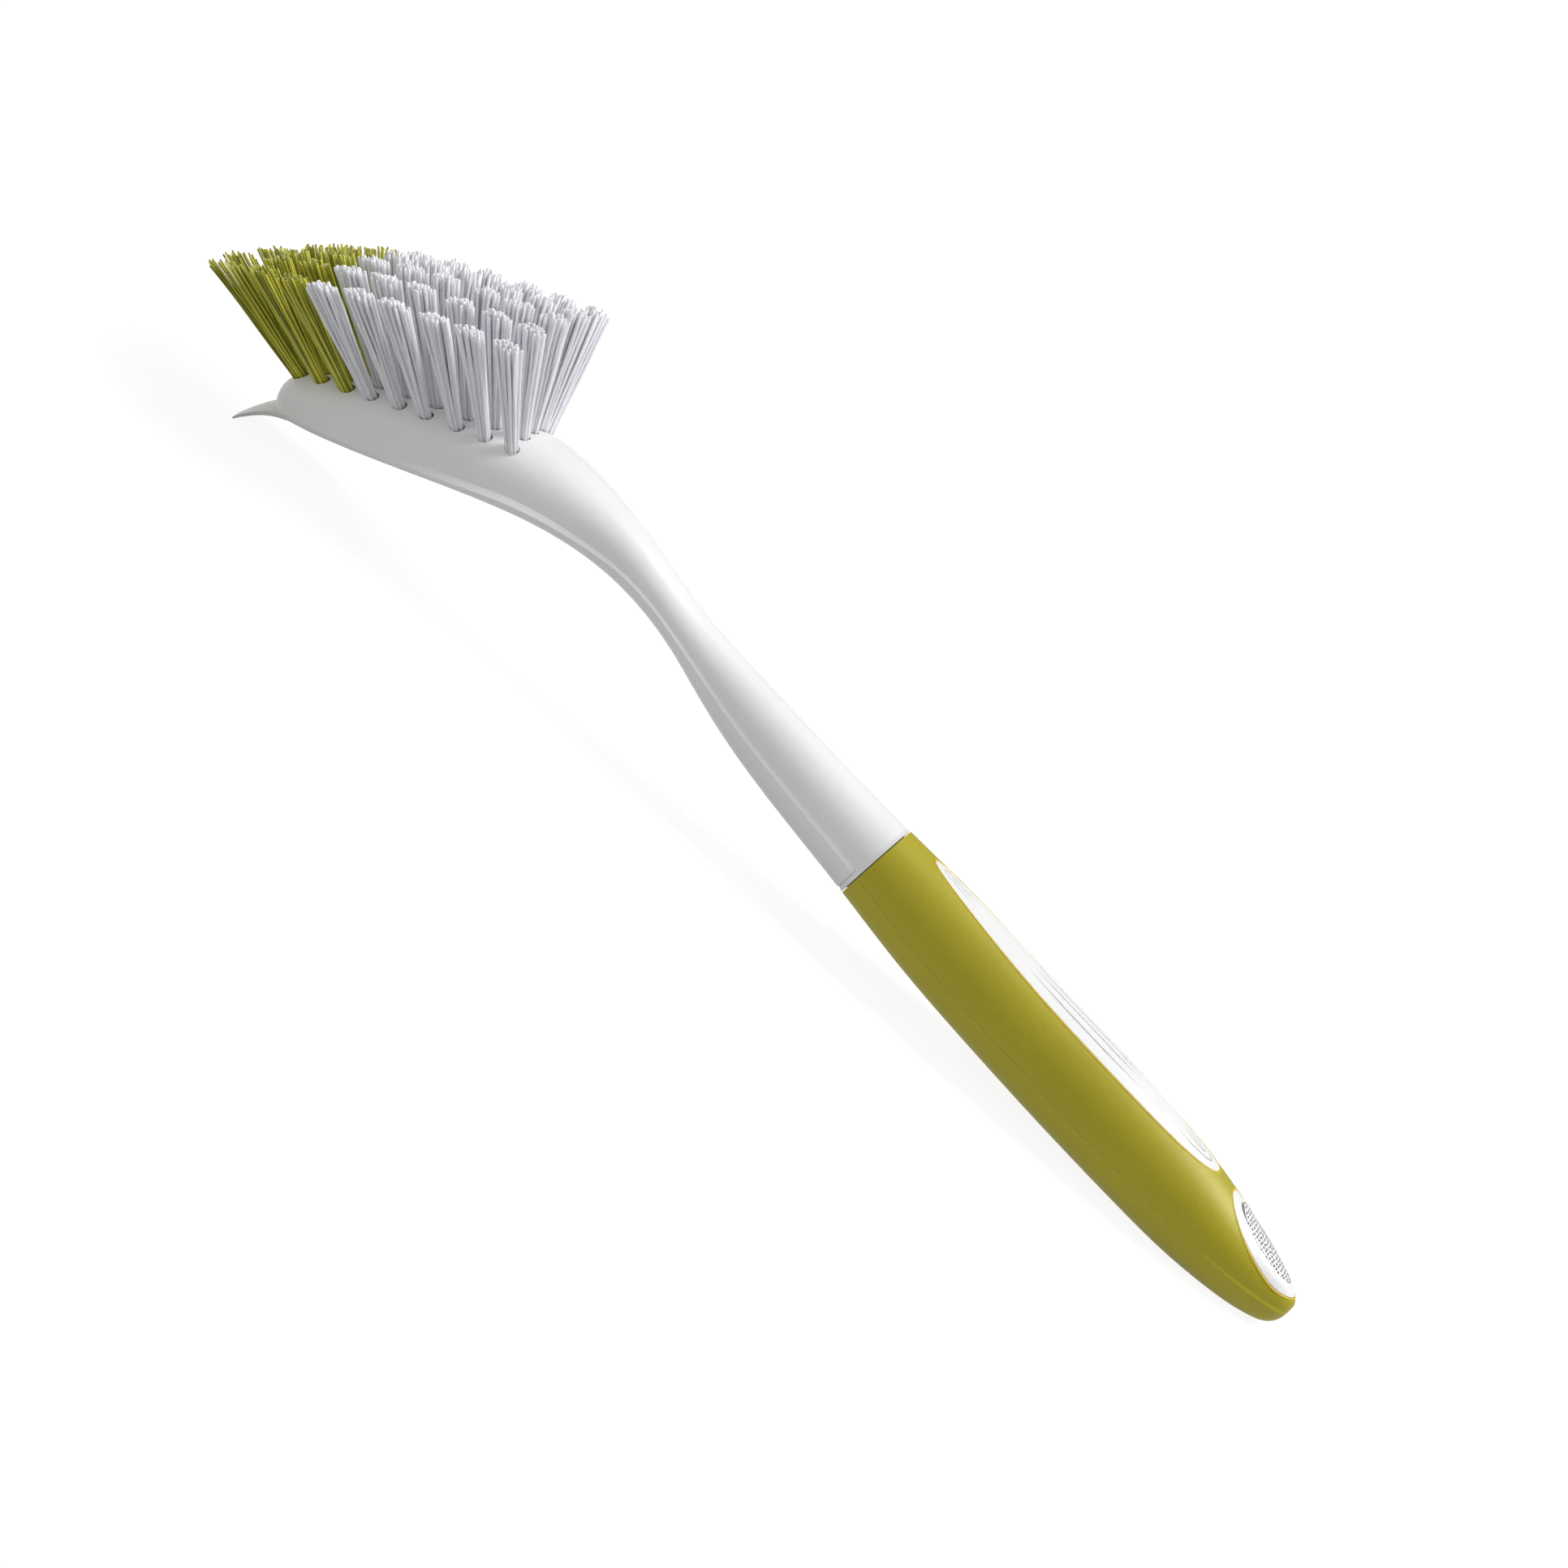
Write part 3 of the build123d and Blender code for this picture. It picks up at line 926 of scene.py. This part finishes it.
@dataclass(frozen=True)
class Daylight:
    """Even light from one side, as wide as a large window."""

    name: str
    toward: tuple
    width: float
    strength: float
    distance: float = 3.0

    def build(self) -> None:
        """Adds the light."""
        light = bpy.data.lights.new(self.name, "SUN")
        light.angle = math.radians(self.width)
        light.energy = self.strength
        lamp = bpy.data.objects.new(self.name, light)
        lamp.location = Vector(self.toward).normalized() * self.distance
        lamp.rotation_euler = lamp.location.to_track_quat("Z", "Y").to_euler()
        bpy.context.scene.collection.objects.link(lamp)


@dataclass
class Studio:
    """Plain pale floor, soft lamps and the camera."""

    head: HeadFrame
    floor_size: float = 12.0
    floor_colour: tuple = (0.46, 0.46, 0.46)
    floor_glow: float = 0.90
    floor_share: float = 0.36
    floor_shade_share: float = 0.99
    floor_cloud_scale: float = 2.0
    floor_roughness: float = 0.9
    world_strength: float = 0.29
    focal_length: float = 93.2
    sensor_width: float = 36.0
    near_limit: float = 0.01
    far_limit: float = 50.0
    camera_place: tuple = (288.0, -767.2, 233.0)
    camera_right: tuple = (0.9065, 0.3236, 0.2710)
    camera_up: tuple = (-0.3547, 0.2359, 0.9046)
    lights: tuple = (
        Daylight("key", (0.48, 0.25, 0.84), 32.0, 2.8),
        Daylight("fill", (-0.55, -0.58, 0.60), 60.0, 0.50),
    )

    def build_floor(self) -> None:
        """Makes a floor that shows white and keeps the object's shadow."""
        half = self.floor_size / 2
        corners = [(-half, -half, 0), (half, -half, 0), (half, half, 0), (-half, half, 0)]
        mesh = bpy.data.meshes.new("floor")
        mesh.from_pydata(corners, [], [(0, 1, 2, 3)])
        floor = bpy.data.objects.new("floor", mesh)
        bpy.context.scene.collection.objects.link(floor)
        tree = NodeTree("pale_floor")
        cloud = tree.noise(tree.coordinates(), self.floor_cloud_scale)
        tree.colour(tree.ramp(cloud, tones(self.floor_colour, self.floor_shade_share)))
        tree.set(Roughness=self.floor_roughness, Specular_IOR_Level=0.0)
        glow = tree.add("ShaderNodeEmission", Strength=self.floor_glow)
        dim = tree.add("ShaderNodeMixShader", Fac=self.floor_share)
        tree.join(tree.shader.outputs[0], dim.inputs[2])
        seen = tree.add("ShaderNodeAddShader")
        tree.join(dim.outputs[0], seen.inputs[0])
        tree.join(glow.outputs[0], seen.inputs[1])
        rays = tree.add("ShaderNodeLightPath")
        shown = tree.math(
            "MAXIMUM",
            rays.outputs["Is Camera Ray"],
            tree.math("MAXIMUM", rays.outputs["Is Glossy Ray"], rays.outputs["Is Transmission Ray"]),
        )
        choice = tree.add("ShaderNodeMixShader")
        tree.join(shown, choice.inputs[0])
        tree.join(tree.shader.outputs[0], choice.inputs[1])
        tree.join(seen.outputs[0], choice.inputs[2])
        output = tree.nodes["Material Output"]
        tree.join(choice.outputs[0], output.inputs["Surface"])
        mesh.materials.append(tree.material)

    def build_world(self) -> None:
        """Fills the room with even light and shows it white."""
        world = bpy.data.worlds.new("studio")
        world.use_nodes = True
        bpy.context.scene.world = world
        nodes, links = world.node_tree.nodes, world.node_tree.links
        even = nodes["Background"]
        even.inputs["Color"].default_value = (1, 1, 1, 1)
        even.inputs["Strength"].default_value = self.world_strength
        white = nodes.new("ShaderNodeBackground")
        white.inputs["Color"].default_value = (1, 1, 1, 1)
        rays = nodes.new("ShaderNodeLightPath")
        choice = nodes.new("ShaderNodeMixShader")
        links.new(rays.outputs["Is Camera Ray"], choice.inputs[0])
        links.new(even.outputs[0], choice.inputs[1])
        links.new(white.outputs[0], choice.inputs[2])
        links.new(choice.outputs[0], nodes["World Output"].inputs["Surface"])

    def build_camera(self) -> None:
        """Sets the camera where the photograph was taken from."""
        data = bpy.data.cameras.new("camera")
        data.lens = self.focal_length
        data.sensor_width = self.sensor_width
        data.clip_start = self.near_limit
        data.clip_end = self.far_limit
        right = self.head.direction(self.camera_right)
        up = self.head.direction(self.camera_up)
        back = right.cross(up)
        camera = bpy.data.objects.new("camera", data)
        turn = Matrix((right, up, back)).transposed().to_4x4()
        camera.matrix_world = Matrix.Translation(self.head.point(self.camera_place)) @ turn
        bpy.context.scene.collection.objects.link(camera)
        bpy.context.scene.camera = camera

    def build(self) -> None:
        """Sets up the floor, the light and the camera."""
        self.build_floor()
        self.build_world()
        self.build_camera()
        for light in self.lights:
            light.build()
        bpy.context.scene.view_settings.view_transform = "Standard"


@dataclass
class DishBrush:
    """The whole brush: carried-over solids with their finishes, and the pieces added to them."""

    frame: dict
    head: HeadFrame

    def surface(self, *names: str) -> BVHTree:
        """Gives the surface of some nodes for casting rays.

        Args:
            *names: The nodes.

        Returns:
            One search tree over all their faces.
        """
        vertices = []
        faces = []
        for name in names:
            mesh = self.frame["nodes"][name].data
            start = len(vertices)
            vertices += [vertex.co.copy() for vertex in mesh.vertices]
            faces += [[start + index for index in face.vertices] for face in mesh.polygons]
        return BVHTree.FromPolygons(vertices, faces)

    def paint(self, node: str, material: bpy.types.Material) -> None:
        """Gives a carried-over solid its finish."""
        mesh = self.frame["nodes"][node].data
        mesh.materials.clear()
        mesh.materials.append(material)
        log.info("finish of %s", node)

    def build_solids(self) -> None:
        """Finishes the body, the grip, the pad and the anchors."""
        self.paint("body", SatinPlastic().material())
        self.paint("grip", SoftGrip().material())
        self.paint("end_pad", PittedPad(self.head).material())
        self.paint("tuft_anchors", AnchorWire().material())

    def build_lips(self) -> None:
        """Adds the thin lips round the window and the end ring."""
        skin = self.surface("grip", "body")
        material = SeamLip().material()
        for name, opening in (("window_lip", WINDOW), ("ring_lip", RING)):
            piece = Lip(self.head, skin, opening, name).build(material)
            log.info("piece %s", piece.name)

    def build_bristles(self) -> None:
        """Puts every tuft in its hole."""
        green = Bristle(
            name="green_nylon",
            dark=(0.14, 0.17, 0.006),
            middle=(0.44, 0.43, 0.020),
            light=(0.78, 0.74, 0.09),
            tip=(0.90, 0.90, 0.55),
            tip_start=0.84,
            roughness=0.34,
            glow=0.0,
        ).material()
        white = Bristle(
            name="white_nylon",
            dark=(0.88, 0.88, 0.94),
            middle=(0.93, 0.93, 0.98),
            light=(0.96, 0.96, 0.99),
            tip=(0.98, 0.98, 0.99),
            tip_start=0.75,
            roughness=0.42,
            glow=0.35,
        ).material()
        finishes = {Colour.GREEN: green, Colour.WHITE: white}
        for tuft in TuftField(self.head, self.surface("body")).tufts():
            piece = tuft.build(finishes[tuft.colour])
            log.info("piece %s", piece.name)

    def build(self) -> None:
        """Builds the brush in order."""
        self.build_solids()
        self.build_lips()
        self.build_bristles()


def main() -> None:
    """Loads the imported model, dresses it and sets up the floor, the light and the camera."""
    logging.basicConfig(level=logging.INFO, format="%(message)s")
    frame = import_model()
    head = HeadFrame.from_record(frame["record"])
    DishBrush(frame, head).build()
    Studio(head).build()
    bpy.context.view_layer.update()


if __name__ == "__main__":
    main()
